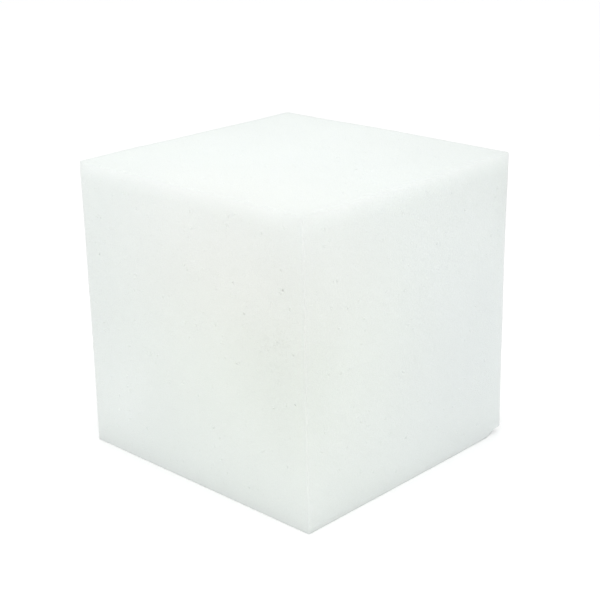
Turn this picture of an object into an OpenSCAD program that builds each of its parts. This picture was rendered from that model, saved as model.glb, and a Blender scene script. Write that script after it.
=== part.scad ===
// Foam block: one block of white, fine-celled soft foam, cut from a slab with a knife.
// Millimetres, +Z up. The origin is the middle of the base, and -Y is the front face.
// The depth is a little less than the width and the height.

/* [Block] */
// Width of the block, along X
block_w = 100; // [40:1:300]
// Depth of the block from front to back, along Y
block_d = 97; // [40:1:300]
// Height of the block, along Z
block_h = 100; // [40:1:300]

/* [Cut edges] */
// Radius of the edges round the top
rim_r = 0.8; // [0.2:0.1:5]
// Radius of the edges round the base
base_r = 0.3; // [0.2:0.1:5]
// Radius of the upright edges
upright_r = 0.4; // [0.2:0.1:5]
// Radius of the back left upright edge, which is softer than the other three
soft_upright_r = 3.5; // [0.2:0.1:10]

/* [Rubbed corner] */
// How far the underside has been rubbed up at the back right corner
rub_rise = 1.4; // [0.2:0.1:5]
// How far in from that corner the rubbing starts, along each of the two edges
rub_reach = 24; // [5:1:35]

/* [Hidden] */
$fn = 64;
// Spare length on a cutting shape, so that no cut ends flush with a face
spare = 2;

// What a round of radius r takes off the corner of a flat outline
module corner_nip(r) {
    translate([-r, -r])
        difference() {
            square(r + spare);
            circle(r);
        }
}

// A bar along Z with its middle at the origin. The radii belong to its long edges, in the
// order of their corners: right back, left back, left front, right front.
module bar(side_x, side_y, length, radii) {
    linear_extrude(length, center = true)
        difference() {
            square([side_x, side_y], center = true);
            translate([side_x / 2, side_y / 2])
                corner_nip(radii[0]);
            translate([-side_x / 2, side_y / 2])
                mirror([1, 0])
                    corner_nip(radii[1]);
            translate([-side_x / 2, -side_y / 2])
                rotate(180)
                    corner_nip(radii[2]);
            translate([side_x / 2, -side_y / 2])
                mirror([0, 1])
                    corner_nip(radii[3]);
        }
}

// The block as it was cut: three bars that share one middle, one along each axis
module cut_block() {
    // Turned on their sides, the bars have their back edges at the top
    rim_radii = [rim_r, rim_r, base_r, base_r];
    translate([0, 0, block_h / 2])
        intersection() {
            bar(block_w, block_d, block_h, [upright_r, soft_upright_r, upright_r, upright_r]);
            rotate([90, 0, 0])
                bar(block_w, block_h, block_d, rim_radii);
            rotate([90, 0, 90])
                bar(block_d, block_h, block_w, rim_radii);
        }
}

// The flat sliver rubbed away under the back right corner, as a tilted slab
module rubbed_sliver() {
    // Across the corner, at 45 degrees, the reach is the edges' own over the root of two
    across = rub_reach / sqrt(2);
    slab = block_w + block_d;
    translate([block_w / 2, block_d / 2, rub_rise])
        rotate([0, 0, 45])
            rotate([0, -atan2(rub_rise, across), 0])
                translate([-slab / 2, -slab / 2, -block_h])
                    cube([slab, slab, block_h]);
}

module foam_block() {
    color("white")
        difference() {
            cut_block();
            rubbed_sliver();
        }
}

foam_block();
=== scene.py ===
"""A block of white, fine-celled soft foam on a pale floor, in plain soft light.

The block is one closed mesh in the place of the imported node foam_block. Its edges have the
radii of the CAD part. Its knife-cut faces wander a little, its foot is rubbed away towards the
back right corner, and open pores are cut into its skin. The cells themselves are too fine for a
mesh, so the material draws them. Everything is in metres, in the CAD frame, with -Y at the front.
"""

import math

import bmesh
import bpy
import numpy as np
from mathutils import Matrix, Vector


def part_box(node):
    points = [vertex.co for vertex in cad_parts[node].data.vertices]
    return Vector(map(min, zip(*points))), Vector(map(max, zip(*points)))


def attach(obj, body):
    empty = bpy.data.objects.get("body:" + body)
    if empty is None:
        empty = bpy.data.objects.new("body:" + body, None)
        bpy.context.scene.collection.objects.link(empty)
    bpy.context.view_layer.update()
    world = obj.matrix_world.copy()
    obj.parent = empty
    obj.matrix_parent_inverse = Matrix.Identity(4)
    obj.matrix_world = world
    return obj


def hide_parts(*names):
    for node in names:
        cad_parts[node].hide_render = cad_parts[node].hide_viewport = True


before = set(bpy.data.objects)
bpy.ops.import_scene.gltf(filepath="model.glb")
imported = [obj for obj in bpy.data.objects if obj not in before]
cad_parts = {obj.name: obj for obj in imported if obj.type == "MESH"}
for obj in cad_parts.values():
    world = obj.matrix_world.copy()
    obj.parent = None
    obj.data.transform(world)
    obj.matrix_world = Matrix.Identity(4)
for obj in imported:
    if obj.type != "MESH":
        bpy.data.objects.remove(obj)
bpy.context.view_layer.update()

MM = 0.001
SEED = 11

# ---------------------------------------------------------------- sizes: the block

# The box that the block fills, from the frame
LOW, HIGH = (np.array(corner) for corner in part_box("foam_block"))
MIDDLE = (LOW + HIGH) / 2
HALF = (HIGH - LOW) / 2

# The radii of its edges, as on the CAD part
RIM_R = 0.8 * MM
BASE_R = 0.3 * MM
UPRIGHT_R = 0.4 * MM
SOFT_UPRIGHT_R = 3.5 * MM

# How far the cut faces wander, and the share of the height over which this starts at the base
WANDER = 0.12 * MM
WANDER_START = 1 / 12
# The swells in them: their usual size, the shares of it that each wave may have, how many waves
# are summed, and what the sum is divided by for about unit height
SWELL_SIZE = 45 * MM
SWELL_SHARES = (0.7, 1.7)
SWELL_WAVES = 8
SWELL_SUM = 2.8
# The front left edge flares at its foot, up to this share of the height
FLARE = 0.60 * MM
FLARE_HEIGHT = 0.45
# The back right edge is hollow by this much half way up
HOLLOW = 0.16 * MM
# The top crowns in its middle, bows up along its back edge and lifts at the back left, and all
# of it has settled
CROWN = 0.12 * MM
BACK_BOW = 0.20 * MM
CORNER_LIFT = 0.10 * MM
SETTLE = 0.40 * MM

# The bevel rubbed along the foot: its height at the back right corner, how far along the edges
# it reaches from there, and how far in
RUB_RISE = 0.8 * MM
RUB_REACH = 24 * MM
RUB_INSET = 0.6 * MM
# The skin above it is drawn up with it, less and less up to this share of the height
RUB_DRAW = 0.3
# The corner itself is pushed in at its foot: how far, its reach along the edges and its height
TUCK = 1.6 * MM
TUCK_REACH = 8 * MM
TUCK_HEIGHT = 1.8 * MM

# ---------------------------------------------------------------- sizes: its mesh

# The rounded skin is found on lines from a core this far inside the faces, by halving the way
CORE_INSET = 5 * MM
HALVINGS = 24

# Grid lines of the skin: distances in from an edge, then this many even cells in all
EDGE_STOPS = np.array([0, 0.15, 0.35, 0.6, 0.9, 1.3, 1.8, 2.4, 3.2, 4.2]) * MM
GRID_CELLS = 90
# The empty border round each side in the map for the bake, as a share of the side
MAP_MARGIN = 0.01

# Pores scattered over the skin: how many, their radius from the smallest to the largest, how
# widely it spreads between them, and how far each may lie from the middle of its grid cell
PORE_COUNT = 500
SMALLEST_PORE_R = 0.09 * MM
LARGEST_PORE_R = 0.20 * MM
PORE_SPREAD = 0.45
PORE_SHIFT = 1 * MM
# A pore stays this far inside the grid cell that it is cut into
PORE_MARGIN = 0.06 * MM
# A pore's outline: its sides, the turn of its first corner in degrees, and the least share of
# the radius that a corner may have
PORE_SIDES = 8
FIRST_TURN = 202.5
LEAST_REACH = 0.82
# Its depth as a share of the radius, and the foot of its wall: its share of the outline's reach
# and of the depth
PORE_DEPTHS = (0.9, 1.5)
WALL_REACH, WALL_SUNK = 0.85, 0.6
# The pores that show on the front face, near its right-hand edge: x, z and radius in mm
FRONT_PORES = [
    (41.7, 76.3, 0.42), (44.0, 70.4, 0.24), (25.2, 65.2, 0.26), (38.3, 59.1, 0.24),
    (44.8, 57.0, 0.26), (20.9, 47.6, 0.26), (45.5, 41.5, 0.24), (36.3, 37.3, 0.22),
]

# ---------------------------------------------------------------- looks: the foam

# Its colour, and the share of it that plain foam shows
FOAM_COLOUR = (0.842, 0.885, 0.862)
PLAIN_TONE = 0.965

# The size of its cells, of the larger cells among them, of torn walls and of the slow mottling
CELL = 0.42 * MM
LARGE_CELL = 1.1 * MM
TEAR = 1.5 * MM
MOTTLE = 28 * MM
# The span of each pattern's own value over which a cell's wall rises, the walls tear and the
# mottling changes
WALL_SPAN = (0.15, 0.75)
TEAR_SPAN = (0.52, 0.64)
MOTTLE_SPAN = (0.3, 0.7)
# Larger cells are open where their random value is above one span, and end over the other
CHOSEN_SPAN = (0.80, 0.86)
OPEN_SPAN = (0.16, 0.42)
# How much cell walls and open cells change the tone, as painted shade in the cells' hollows, and how
# much the mottling does
CELL_HOLLOW_SHADE = 0.022
MOTTLE_TONE = 0.006
BUMP_STRENGTH, BUMP_HEIGHT = 0.40, 0.10 * MM
# Roughness in the middle of a cell and on its wall
ROUGHNESS = (1.0, 0.86)

# Bands along the edges, all of them painted light or shade: how much tone each one gains or loses,
# and its reach.
# Painted light: the sides are lighter under the top, as if light soaked through from it, in a band
# and more deeply
PAINTED_GLOW, GLOW_REACH = 0.058, 7.5 * MM
PAINTED_DEEP_GLOW, DEEP_GLOW_REACH = 0.032, 14 * MM
# Painted shade: the rim of the top is darker, and more so at the back left, over this span of y less
# x
RIM_SHADE, RIM_REACH = 0.042, 2.8 * MM
FAR_RIM_SHADE, FAR_RIM_SPAN = 0.04, (-20 * MM, 60 * MM)
# Painted shade on the upright edges too, with a fine darker line on them that comes in over this
# span of heights
UPRIGHT_SHADE, UPRIGHT_REACH = 0.035, 1.8 * MM
LINE_SHADE, LINE_REACH, LINE_SPAN = 0.02, 0.5 * MM, (25 * MM, 55 * MM)
# The painted glow and the painted shade on the upright edges lose this share at the front corner of
# the top
FRONT_LOSS = 0.5
# Painted shade: the foot is darker from just above the base, and a little further up as well
FOOT_SHADE, FOOT_REACH, FOOT_START = 0.045, 5 * MM, 1.2 * MM
LOWER_SHADE, LOWER_REACH = 0.03, 20 * MM

# Soft patches. Each has its middle, as shares of the block from its front left foot along
# X, Y and Z, and its reach along them in mm
FRONT_CORNER = (1, 0, 1), (16, 16, 30)
SCUFFS, SCUFF_DULL = ((0.88, 0, 0.56), (15, 8, 17)), 0.03
# Tints: yellower round the middle of the front edge, pinker above it, cooler at the far right
WARM, WARM_TINT = ((0.8, 0, 0.5), (90, 75, 65)), 0.034
BLUSH, BLUSH_TINT = ((0.7, 0, 0.8), (75, 60, 45)), 0.022
COOL, COOL_TINT = ((1, 1, 0.3), (70, 70, 90)), 0.015
# Patches of painted light and painted shade, with the change of tone
LIGHT_AND_SHADE_PATCHES = [
    # Painted shade at half height on the front face beside its right-hand edge
    ((0.95, 0, 0.53), (34, 20, 42), -0.042),
    # Painted shade on the front edge above it, and on the right-hand face
    ((0.94, 0, 0.83), (24, 18, 16), -0.018),
    ((1, 0.55, 0.35), (20, 50, 50), -0.014),
    # Painted shade on the front corner of the top
    ((1, 0, 1), (10, 10, 6), -0.02),
    # Painted shade on the back right edge, all over and in its upper part
    (*COOL, -0.027),
    ((1, 1, 0.85), (12, 12, 25), -0.04),
    # Painted shade on the front left edge, and on the top at the back right corner
    ((0, 0, 0.5), (30, 30, 55), -0.025),
    ((1, 1, 1), (70, 60, 30), -0.045),
    # Painted light on the top and on the front face
    ((0.3, 0.376, 1), (60, 60, 25), 0.015),
    ((0.42, 0, 0.88), (36, 30, 20), 0.018),
    ((0.14, 0, 0.2), (24, 20, 30), 0.022),
]

# ---------------------------------------------------------------- looks: the studio

# The camera's place around the block in degrees, how far off it is, and the point it looks at,
# to the right of the block's middle and above it
VIEW_AZIMUTH, VIEW_ELEVATION, VIEW_ROLL = 44.0, 19.65, -1.1
VIEW_DISTANCE = 459 * MM
AIM_RIGHT, AIM_UP = 0.95 * MM, 0.04 * MM
LENS = 82.0

# The floor's half width, its shade and the light it gives off
FLOOR_REACH = 12.0
FLOOR_SHADE = 0.97
FLOOR_GLOW = 0.07
# The strength of the white surroundings behind the block and on the camera's side
SKY_BACK, SKY_FRONT = 0.74, 0.79
# A wide, even light from the ceiling: its strength, its spread in degrees and its height
CEILING, CEILING_SPREAD, CEILING_HEIGHT = 0.64, 50, 2.0
# A square softbox above the camera: its strength, side, height in degrees and distance
SOFTBOX, SOFTBOX_SIDE = 0.40, 500 * MM
SOFTBOX_ELEVATION, SOFTBOX_DISTANCE = 65, 450 * MM


# ---------------------------------------------------------------- shape of the block

def rounded_outline(a, b, half_a, half_b, radius):
    """Distance outside a rounded rectangle, negative inside. The radius can differ by point."""
    over_a = np.abs(a) - half_a + radius
    over_b = np.abs(b) - half_b + radius
    outside = np.hypot(np.maximum(over_a, 0), np.maximum(over_b, 0))
    return outside + np.minimum(np.maximum(over_a, over_b), 0) - radius


def outside_block(points):
    """How far each point lies outside the cut block: a rounded outline along each axis."""
    x, y, z = (points - MIDDLE).T
    hx, hy, hz = HALF
    upright_r = np.where((x < 0) & (y > 0), SOFT_UPRIGHT_R, UPRIGHT_R)
    plan = rounded_outline(x, y, hx, hy, upright_r)
    level_r = np.where(z < 0, BASE_R, RIM_R)
    front = rounded_outline(x, z, hx, hz, level_r)
    side = rounded_outline(y, z, hy, hz, level_r)
    return np.maximum(plan, np.maximum(front, side))


def onto_skin(points):
    """Moves points of the sharp box onto the rounded block, along lines from its core."""
    core = np.clip(points, LOW + CORE_INSET, HIGH - CORE_INSET)
    way = points - core
    near, far = np.zeros((len(points), 1)), np.ones((len(points), 1))
    for _ in range(HALVINGS):
        middle = (near + far) / 2
        out = (outside_block(core + way * middle) > 0)[:, None]
        near, far = np.where(out, near, middle), np.where(out, middle, far)
    return core + way * near


def swells(points, size, rng):
    """A smooth random field of about unit height, with swells of about the given size."""
    field = np.zeros(len(points))
    for _ in range(SWELL_WAVES):
        way = rng.normal(size=3)
        way *= 2 * math.pi / (size * rng.uniform(*SWELL_SHARES)) / np.linalg.norm(way)
        field += np.sin(points @ way + rng.uniform(0, 2 * math.pi))
    return field / SWELL_SUM


def share_left(distance, reach):
    """One at no distance, falling evenly to nothing at the reach."""
    return np.clip(1 - distance / reach, 0, 1)


def knife_wander(points, rng):
    """Moves the skin as a knife through soft foam and later handling leave it."""
    x, y, z = ((points - MIDDLE) / HALF).T
    height = (z + 1) / 2
    moved = points.copy()
    off_base = np.clip(height / WANDER_START, 0, 1)
    for axis in range(3):
        moved[:, axis] += WANDER * swells(points, SWELL_SIZE, rng) * off_base
    moved[:, 0] -= FLARE * (1 - x) * (1 - y) / 4 * share_left(height, FLARE_HEIGHT)
    hollow = HOLLOW * (1 + x) * (1 + y) / 4 * 4 * height * (1 - height)
    moved[:, 0] -= hollow
    moved[:, 1] -= hollow
    crown = CROWN * (1 - x * x) * (1 - y * y) + BACK_BOW * (1 - x * x) * (1 + y) / 2
    crown += CORNER_LIFT * (1 - x) * (1 + y) / 4
    moved[:, 2] += crown * height**4
    # The foot is rubbed away, more and more towards the back right corner
    in_x, in_y = HIGH[0] - points[:, 0], HIGH[1] - points[:, 1]
    rise = share_left(in_x + in_y, RUB_REACH) * share_left(np.minimum(in_x, in_y), RUB_INSET)
    moved[:, 2] += RUB_RISE * rise * share_left(height, RUB_DRAW) ** 2
    # That corner itself is blunted at its foot
    tuck = share_left(in_x + in_y, TUCK_REACH) * share_left(points[:, 2] - LOW[2], TUCK_HEIGHT)
    moved[:, 0] -= TUCK * tuck
    moved[:, 1] -= TUCK * tuck
    moved[:, 2] -= SETTLE * height
    moved[:, 2] = np.maximum(moved[:, 2], LOW[2])
    return moved


# ---------------------------------------------------------------- its mesh

def grid_stops(low, high):
    """Places of the grid lines along one side of the box: close near the edges, then even."""
    band = EDGE_STOPS[-1]
    even = np.linspace(low + band, high - band, GRID_CELLS - 2 * (len(EDGE_STOPS) - 1) + 1)
    return np.concatenate([low + EDGE_STOPS[:-1], even, high - EDGE_STOPS[-2::-1]])


def rounded_grid():
    """The block's skin as an even grid of quads, before any pore is cut. Each face keeps its
    side of the box and each vertex keeps its place on the sharp box, for the map."""
    bm = bmesh.new()
    bmesh.ops.create_cube(bm, size=2)
    bmesh.ops.subdivide_edges(bm, edges=bm.edges[:], cuts=GRID_CELLS - 1, use_grid_fill=True)
    side = bm.faces.layers.int.new("side")
    place = bm.verts.layers.float_vector.new("place")
    for face in bm.faces:
        axis = max(range(3), key=lambda i: abs(face.normal[i]))
        face[side] = 2 * axis + (face.normal[axis] > 0)
    unit = np.array([v.co for v in bm.verts])
    even = np.linspace(-1, 1, GRID_CELLS + 1)
    sharp = np.stack(
        [np.interp(unit[:, i], even, grid_stops(LOW[i], HIGH[i])) for i in range(3)], axis=1
    )
    for vertex, corner, point in zip(bm.verts, sharp, onto_skin(sharp), strict=True):
        vertex[place] = corner
        vertex.co = point
    return bm


def cut_pore(bm, face, centre, radius, rng):
    """Cuts one open pore into a flat quad: a rim, a wall and a bottom."""
    side = bm.faces.layers.int["side"]
    place = bm.verts.layers.float_vector["place"]
    own_side, corners = face[side], list(face.verts)
    inward = -face.normal.normalized()
    along = (corners[1].co - corners[0].co).normalized()
    across = along.cross(inward)
    depth = radius * rng.uniform(*PORE_DEPTHS)

    def vertex(reach, turn, sunk):
        angle = math.radians(turn)
        flat = centre + reach * (math.cos(angle) * along + math.sin(angle) * across)
        made = bm.verts.new(flat + sunk * inward)
        made[place] = flat
        return made

    turns = [FIRST_TURN + 360 / PORE_SIDES * i for i in range(PORE_SIDES)]
    reaches = [radius * rng.uniform(LEAST_REACH, 1.0) for _ in turns]
    spokes = list(zip(reaches, turns, strict=True))
    rim = [vertex(reach, turn, 0) for reach, turn in spokes]
    wall = [vertex(WALL_REACH * reach, turn, WALL_SUNK * depth) for reach, turn in spokes]
    bottom = vertex(0, 0, depth)
    bm.faces.remove(face)
    made = []
    for i in range(PORE_SIDES):
        after = (i + 1) % PORE_SIDES
        corner = corners[i // 2]
        if i % 2 == 0:
            made.append(bm.faces.new([corner, rim[after], rim[i]]))
        else:
            made.append(bm.faces.new([corner, corners[(i // 2 + 1) % 4], rim[after], rim[i]]))
        made.append(bm.faces.new([rim[i], rim[after], wall[after], wall[i]]))
        made.append(bm.faces.new([wall[i], wall[after], bottom]))
    for new in made:
        new[side] = own_side


def scatter_pores(bm, rng):
    """Cuts the front face's own pores, then the scattered ones, each into a quad of its own."""
    bm.normal_update()
    side = bm.faces.layers.int["side"]
    band = EDGE_STOPS[-1]
    low, high = LOW + band, HIGH - band

    def flat(face):
        """True where the face lies in the even, flat part of its side."""
        centre = face.calc_center_median()
        return all(low[i] < centre[i] < high[i] for i in range(3) if i != face[side] // 2)

    def fitted(face, wanted, radius):
        """The wanted centre, moved as little as keeps the whole rim inside the quad."""
        centre = face.calc_center_median()
        spans = [max(v.co[i] for v in face.verts) - centre[i] for i in range(3)]
        room = [max(span - radius - PORE_MARGIN, 0) for span in spans]
        return Vector(
            centre[i] + min(max(wanted[i] - centre[i], -room[i]), room[i]) for i in range(3)
        )

    free = [face for face in bm.faces if flat(face)]
    pores = []
    for x, z, radius in FRONT_PORES:
        wanted = Vector((x * MM, LOW[1], z * MM))
        face = min(free, key=lambda f: (f.calc_center_median() - wanted).length)
        free.remove(face)
        pores.append((face, fitted(face, wanted, radius * MM), radius * MM))
    for pick in rng.choice(len(free), PORE_COUNT, replace=False):
        face = free[pick]
        radius = SMALLEST_PORE_R * math.exp(abs(rng.normal()) * PORE_SPREAD)
        radius = min(radius, LARGEST_PORE_R)
        centre = face.calc_center_median()
        wanted = Vector(centre[i] + rng.uniform(-1, 1) * PORE_SHIFT for i in range(3))
        pores.append((face, fitted(face, wanted, radius), radius))
    for face, centre, radius in pores:
        cut_pore(bm, face, centre, radius, rng)


def add_map(mesh):
    """A map for the material's bake: the six sides of the box, in two rows of three."""
    place = np.empty(len(mesh.vertices) * 3)
    mesh.attributes["place"].data.foreach_get("vector", place)
    place = (place.reshape(-1, 3) - LOW) / (HIGH - LOW)
    side = np.empty(len(mesh.polygons), int)
    mesh.attributes["side"].data.foreach_get("value", side)
    corners = np.empty(len(mesh.loops), int)
    mesh.loops.foreach_get("vertex_index", corners)
    count = np.empty(len(mesh.polygons), int)
    mesh.polygons.foreach_get("loop_total", count)
    side, place = np.repeat(side, count), place[corners]
    axis = side // 2
    across = np.where(axis == 0, place[:, 1], place[:, 0])
    up = np.where(axis == 2, place[:, 1], place[:, 2])
    across, up = (MAP_MARGIN + share * (1 - 2 * MAP_MARGIN) for share in (across, up))
    column, row = side % 3, side // 3
    uv = np.stack([(column + across) / 3, (row + up) / 2], axis=1)
    mesh.uv_layers.new(name="OFBake").data.foreach_set("uv", uv.astype(np.float32).ravel())
    for name in ("place", "side"):
        mesh.attributes.remove(mesh.attributes[name])


def foam_block():
    """The whole block as one closed mesh."""
    rng = np.random.default_rng(SEED)
    bm = rounded_grid()
    scatter_pores(bm, rng)
    mesh = bpy.data.meshes.new("block")
    bm.to_mesh(mesh)
    bm.free()
    add_map(mesh)
    points = np.empty(len(mesh.vertices) * 3)
    mesh.vertices.foreach_get("co", points)
    moved = knife_wander(points.reshape(-1, 3), rng)
    mesh.vertices.foreach_set("co", moved.astype(np.float32).ravel())
    mesh.polygons.foreach_set("use_smooth", [True] * len(mesh.polygons))
    mesh.update()
    block = bpy.data.objects.new("block", mesh)
    bpy.context.scene.collection.objects.link(block)
    return block


# ---------------------------------------------------------------- materials

class Shading:
    """The nodes of one material, each made by a short call."""

    def __init__(self, material):
        self.nodes, self.links = material.node_tree.nodes, material.node_tree.links
        self.nodes.clear()
        coordinates = self.node("ShaderNodeTexCoord")
        self.where = coordinates.outputs["Object"]
        self.normal = coordinates.outputs["Normal"]

    def node(self, kind, settings=None, **inputs):
        """A node. Its inputs go by name, with _ for a space, or by number after a _."""
        made = self.nodes.new(kind)
        for name, value in (settings or {}).items():
            setattr(made, name, value)
        for name, value in inputs.items():
            key = int(name[1:]) if name[0] == "_" else name.replace("_", " ")
            if isinstance(value, bpy.types.NodeSocket):
                self.links.new(value, made.inputs[key])
            else:
                made.inputs[key].default_value = value
        return made

    def maths(self, operation, a, b):
        """The result of one sum on two numbers."""
        return self.node("ShaderNodeMath", {"operation": operation}, _0=a, _1=b).outputs[0]

    def vector_maths(self, operation, a, b):
        """The result of one sum on two vectors."""
        return self.node("ShaderNodeVectorMath", {"operation": operation}, _0=a, _1=b).outputs[0]

    def ramp(self, value, span, ends=(0.0, 1.0)):
        """Passes smoothly from the first end to the second as the value crosses the span."""
        made = self.node(
            "ShaderNodeMapRange", {"interpolation_type": "SMOOTHSTEP"}, Value=value,
            From_Min=span[0], From_Max=span[1], To_Min=ends[0], To_Max=ends[1],
        )
        return made.outputs["Result"]

    def fades(self, distance, reach):
        """One at no distance, and falling away with it."""
        return self.maths("POWER", math.exp(-1), self.maths("DIVIDE", distance, reach))

    def patch(self, middle, reaches):
        """A soft-edged patch: one at its middle, none past its reaches along X, Y and Z."""
        centre = Vector(LOW + np.array(middle) * (HIGH - LOW))
        off = self.vector_maths("SUBTRACT", self.where, centre)
        off = self.vector_maths("DIVIDE", off, Vector(reaches) * MM)
        length = self.node("ShaderNodeVectorMath", {"operation": "LENGTH"}, _0=off)
        return self.ramp(length.outputs["Value"], (0.0, 1.0), (1.0, 0.0))

    def inset(self, value, half):
        """How far a place lies in from the nearer of two opposite faces."""
        return self.maths("SUBTRACT", half, self.maths("ABSOLUTE", value, 0.0))

    def voronoi(self, size, randomness):
        """Cells of the given size: the distance from each one's middle, and its own colour."""
        made = self.node(
            "ShaderNodeTexVoronoi", {"feature": "F1"},
            Vector=self.where, Scale=1 / size, Randomness=randomness,
        )
        return made.outputs["Distance"], made.outputs["Color"]

    def noise(self, size, roughness):
        """A soft random pattern of the given size, from none to one."""
        made = self.node(
            "ShaderNodeTexNoise", Vector=self.where, Scale=1 / size, Detail=3.0, Roughness=roughness
        )
        return made.outputs["Fac"]


def cut_cells(foam):
    """Cells cut open by the knife: the walls that stand, and the few larger cells that are open."""
    distance, _ = foam.voronoi(CELL, randomness=0.9)
    wall = foam.ramp(distance, WALL_SPAN)
    distance, colour = foam.voronoi(LARGE_CELL, randomness=1.0)
    chosen = foam.ramp(foam.node("ShaderNodeSeparateColor", Color=colour).outputs[0], CHOSEN_SPAN)
    return wall, foam.maths("MULTIPLY", chosen, foam.ramp(distance, OPEN_SPAN, (1.0, 0.0)))


def edge_light_and_shade(foam):
    """Painted light and shade in bands along the block's edges: where each one is, and what it adds
    to the tone.
    """
    place = foam.node("ShaderNodeSeparateXYZ", Vector=foam.where)
    x, y, level = place.outputs["X"], place.outputs["Y"], place.outputs["Z"]
    in_x, in_y = foam.inset(x, HIGH[0]), foam.inset(y, HIGH[1])
    # On the top, the rim, for painted shade
    upward = foam.node("ShaderNodeSeparateXYZ", Vector=foam.normal).outputs["Z"]
    upward = foam.maths("MAXIMUM", upward, 0.0)
    rims = foam.maths("ADD", foam.fades(in_x, RIM_REACH), foam.fades(in_y, RIM_REACH))
    rim = foam.maths("MULTIPLY", upward, rims)
    far = foam.ramp(foam.maths("SUBTRACT", y, x), FAR_RIM_SPAN)
    # On the sides, the painted glow under the top and the painted shade on the upright edges, both
    # weaker beside the front corner
    loss = foam.maths("MULTIPLY", foam.patch(*FRONT_CORNER), FRONT_LOSS)
    sides = foam.maths("SUBTRACT", 1.0, upward)
    sides = foam.maths("MULTIPLY", sides, foam.maths("SUBTRACT", 1.0, loss))
    drop = foam.maths("SUBTRACT", HIGH[2], level)
    glow = foam.ramp(drop, (0.0, GLOW_REACH), (1.0, 0.0))
    edge = foam.maths("MAXIMUM", in_x, in_y)
    line = foam.maths("MULTIPLY", sides, foam.fades(edge, LINE_REACH))
    # At the foot, painted shade in a band that starts a little above the base, and in a wider one
    above = foam.maths("MAXIMUM", level, 0.0)
    foot = foam.maths("SUBTRACT", foam.fades(above, FOOT_REACH), foam.fades(above, FOOT_START))
    # Each band of painted light or shade, with its change of tone
    return [
        (foam.maths("MULTIPLY", sides, glow), PAINTED_GLOW),
        (foam.maths("MULTIPLY", sides, foam.fades(drop, DEEP_GLOW_REACH)), PAINTED_DEEP_GLOW),
        (rim, -RIM_SHADE),
        (foam.maths("MULTIPLY", rim, far), -FAR_RIM_SHADE),
        (foam.maths("MULTIPLY", sides, foam.fades(edge, UPRIGHT_REACH)), -UPRIGHT_SHADE),
        (foam.maths("MULTIPLY", line, foam.ramp(level, LINE_SPAN)), -LINE_SHADE),
        (foot, -FOOT_SHADE),
        (foam.fades(above, LOWER_REACH), -LOWER_SHADE),
    ]


def foam_colour(foam, wall, open_cell, scuffed):
    """The foam's colour: its tone from the cells, with painted shade in their hollows, from painted
    light and shade in bands and patches, and then its tints.
    """
    # Painted shade: the cells' hollows and the open cells are darker than their walls
    changes = [(wall, CELL_HOLLOW_SHADE), (open_cell, -CELL_HOLLOW_SHADE), (scuffed, -SCUFF_DULL)]
    # Then the bands and patches of painted light and shade
    changes += edge_light_and_shade(foam)
    changes += [(foam.patch(middle, reaches), change) for middle, reaches, change in LIGHT_AND_SHADE_PATCHES]
    mottle = foam.ramp(foam.noise(MOTTLE, roughness=0.5), MOTTLE_SPAN, (-MOTTLE_TONE, MOTTLE_TONE))
    tone = foam.maths("ADD", mottle, PLAIN_TONE)
    for where, change in changes:
        tone = foam.maths("ADD", tone, foam.maths("MULTIPLY", where, change))
    red = foam.maths("ADD", tone, foam.maths("MULTIPLY", foam.patch(*BLUSH), BLUSH_TINT))
    blue = foam.maths("SUBTRACT", tone, foam.maths("MULTIPLY", foam.patch(*WARM), WARM_TINT))
    blue = foam.maths("ADD", blue, foam.maths("MULTIPLY", foam.patch(*COOL), COOL_TINT))
    shade = foam.node("ShaderNodeCombineColor", Red=red, Green=tone, Blue=blue)
    # Inputs 6 and 7 and output 2 are the colours of a Mix node
    return foam.node(
        "ShaderNodeMix", {"data_type": "RGBA", "blend_type": "MULTIPLY"},
        Factor=1.0, _6=(*FOAM_COLOUR, 1), _7=shade.outputs[0],
    ).outputs[2]


def foam_material():
    """White open-cell foam: matt, lit from within, with cells of under half a millimetre."""
    material = bpy.data.materials.new("foam")
    material.use_nodes = True
    foam = Shading(material)
    wall, open_cell = cut_cells(foam)
    # A small scuffed patch on the front face, where cell walls are torn
    torn = foam.ramp(foam.noise(TEAR, roughness=0.65), TEAR_SPAN)
    scuffed = foam.maths("MULTIPLY", torn, foam.patch(*SCUFFS))
    height = foam.maths("SUBTRACT", foam.maths("SUBTRACT", wall, open_cell), scuffed)
    bump = foam.node(
        "ShaderNodeBump", Height=height, Strength=BUMP_STRENGTH, Distance=BUMP_HEIGHT
    )
    shader = foam.node(
        "ShaderNodeBsdfPrincipled", {"subsurface_method": "RANDOM_WALK"},
        Base_Color=foam_colour(foam, wall, open_cell, scuffed),
        Roughness=foam.ramp(wall, (0.0, 1.0), ROUGHNESS), Normal=bump.outputs[0], IOR=1.4,
        Subsurface_Weight=0.35, Subsurface_Scale=6 * MM, Subsurface_Radius=(1.0, 1.0, 0.95),
        Specular_IOR_Level=0.25,
    )
    foam.node("ShaderNodeOutputMaterial", Surface=shader.outputs[0])
    return material


def floor_material():
    """White, and lit a little from below as a packshot table is."""
    material = bpy.data.materials.new("floor")
    material.use_nodes = True
    shader = material.node_tree.nodes["Principled BSDF"]
    shader.inputs["Base Color"].default_value = (FLOOR_SHADE, FLOOR_SHADE, FLOOR_SHADE, 1)
    shader.inputs["Roughness"].default_value = 0.9
    shader.inputs["Emission Color"].default_value = (1, 1, 1, 1)
    shader.inputs["Emission Strength"].default_value = FLOOR_GLOW
    return material


# ---------------------------------------------------------------- stage, light and camera

def pale_floor():
    """A wide white floor under the block."""
    mesh = bpy.data.meshes.new("floor")
    signs = ((-1, -1), (1, -1), (1, 1), (-1, 1))
    mesh.from_pydata([(FLOOR_REACH * x, FLOOR_REACH * y, 0) for x, y in signs], [], [(0, 1, 2, 3)])
    mesh.materials.append(floor_material())
    floor = bpy.data.objects.new("floor", mesh)
    bpy.context.scene.collection.objects.link(floor)


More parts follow.
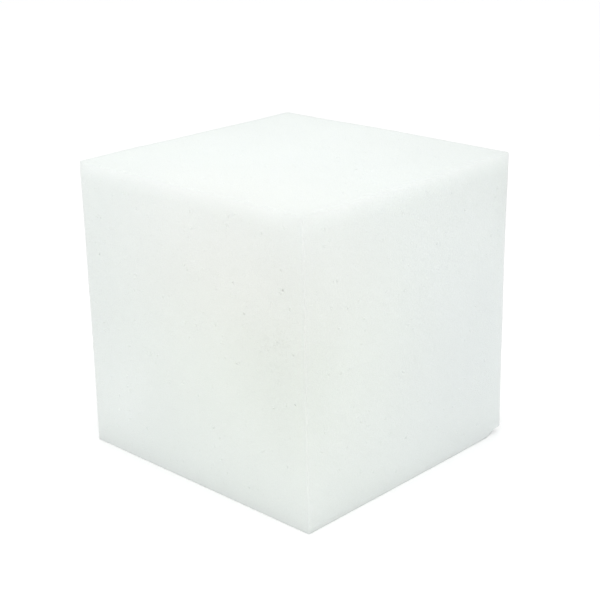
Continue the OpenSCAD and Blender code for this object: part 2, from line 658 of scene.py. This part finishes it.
def lamp(name, kind, place, size, power):
    """A soft light aimed at the middle of the block. A sun's size is its spread in degrees."""
    data = bpy.data.lights.new(name, kind)
    data.energy = power
    if kind == "SUN":
        data.angle = math.radians(size)
    else:
        data.size = size
    shining = bpy.data.objects.new(name, data)
    shining.location = place
    shining.rotation_euler = (Vector(place) - Vector(MIDDLE)).to_track_quat("Z", "Y").to_euler()
    shining.visible_camera = False
    bpy.context.scene.collection.objects.link(shining)


def direction(azimuth, elevation):
    """The way from the block's middle to a place on these view angles in degrees."""
    turn, rise = math.radians(azimuth), math.radians(elevation)
    flat = math.cos(rise)
    return Vector((math.sin(turn) * flat, -math.cos(turn) * flat, math.sin(rise)))


def around(azimuth, elevation, distance):
    """A place at a distance from the middle of the block, on the view angles in degrees."""
    return Vector(MIDDLE) + distance * direction(azimuth, elevation)


def soft_studio():
    """White surroundings, brighter on the camera's side, an even ceiling light and a softbox."""
    world = bpy.data.worlds.new("studio")
    world.use_nodes = True
    nodes, links = world.node_tree.nodes, world.node_tree.links
    way = nodes.new("ShaderNodeTexCoord")
    facing = nodes.new("ShaderNodeVectorMath")
    facing.operation = "DOT_PRODUCT"
    facing.inputs[1].default_value = direction(VIEW_AZIMUTH, 0)
    strength = nodes.new("ShaderNodeMapRange")
    strength.inputs["From Min"].default_value = -1
    strength.inputs["To Min"].default_value = SKY_BACK
    strength.inputs["To Max"].default_value = SKY_FRONT
    links.new(way.outputs["Generated"], facing.inputs[0])
    links.new(facing.outputs["Value"], strength.inputs["Value"])
    links.new(strength.outputs["Result"], nodes["Background"].inputs["Strength"])
    nodes["Background"].inputs["Color"].default_value = (1, 1, 1, 1)
    bpy.context.scene.world = world
    lamp("ceiling", "SUN", around(0, 90, CEILING_HEIGHT), CEILING_SPREAD, CEILING)
    above_camera = around(VIEW_AZIMUTH, SOFTBOX_ELEVATION, SOFTBOX_DISTANCE)
    lamp("softbox", "AREA", above_camera, SOFTBOX_SIDE, SOFTBOX)


def photo_camera():
    """Three-quarter view from a little above, the front upright edge near the middle."""
    back = direction(VIEW_AZIMUTH, VIEW_ELEVATION)
    right = Vector((0, 0, 1)).cross(back).normalized()
    up = back.cross(right)
    aim = Vector(MIDDLE) + AIM_RIGHT * right + AIM_UP * up
    data = bpy.data.cameras.new("camera")
    data.sensor_width = 36
    data.lens = LENS
    camera = bpy.data.objects.new("camera", data)
    turn = Matrix((right, up, back)).transposed() @ Matrix.Rotation(math.radians(VIEW_ROLL), 3, "Z")
    camera.matrix_world = Matrix.Translation(aim + VIEW_DISTANCE * back) @ turn.to_4x4()
    bpy.context.scene.collection.objects.link(camera)
    bpy.context.scene.camera = camera


photo_camera()
block = foam_block()
block.data.materials.append(foam_material())
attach(block, "root")
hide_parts("foam_block")
pale_floor()
soft_studio()
bpy.context.scene.view_settings.view_transform = "Standard"
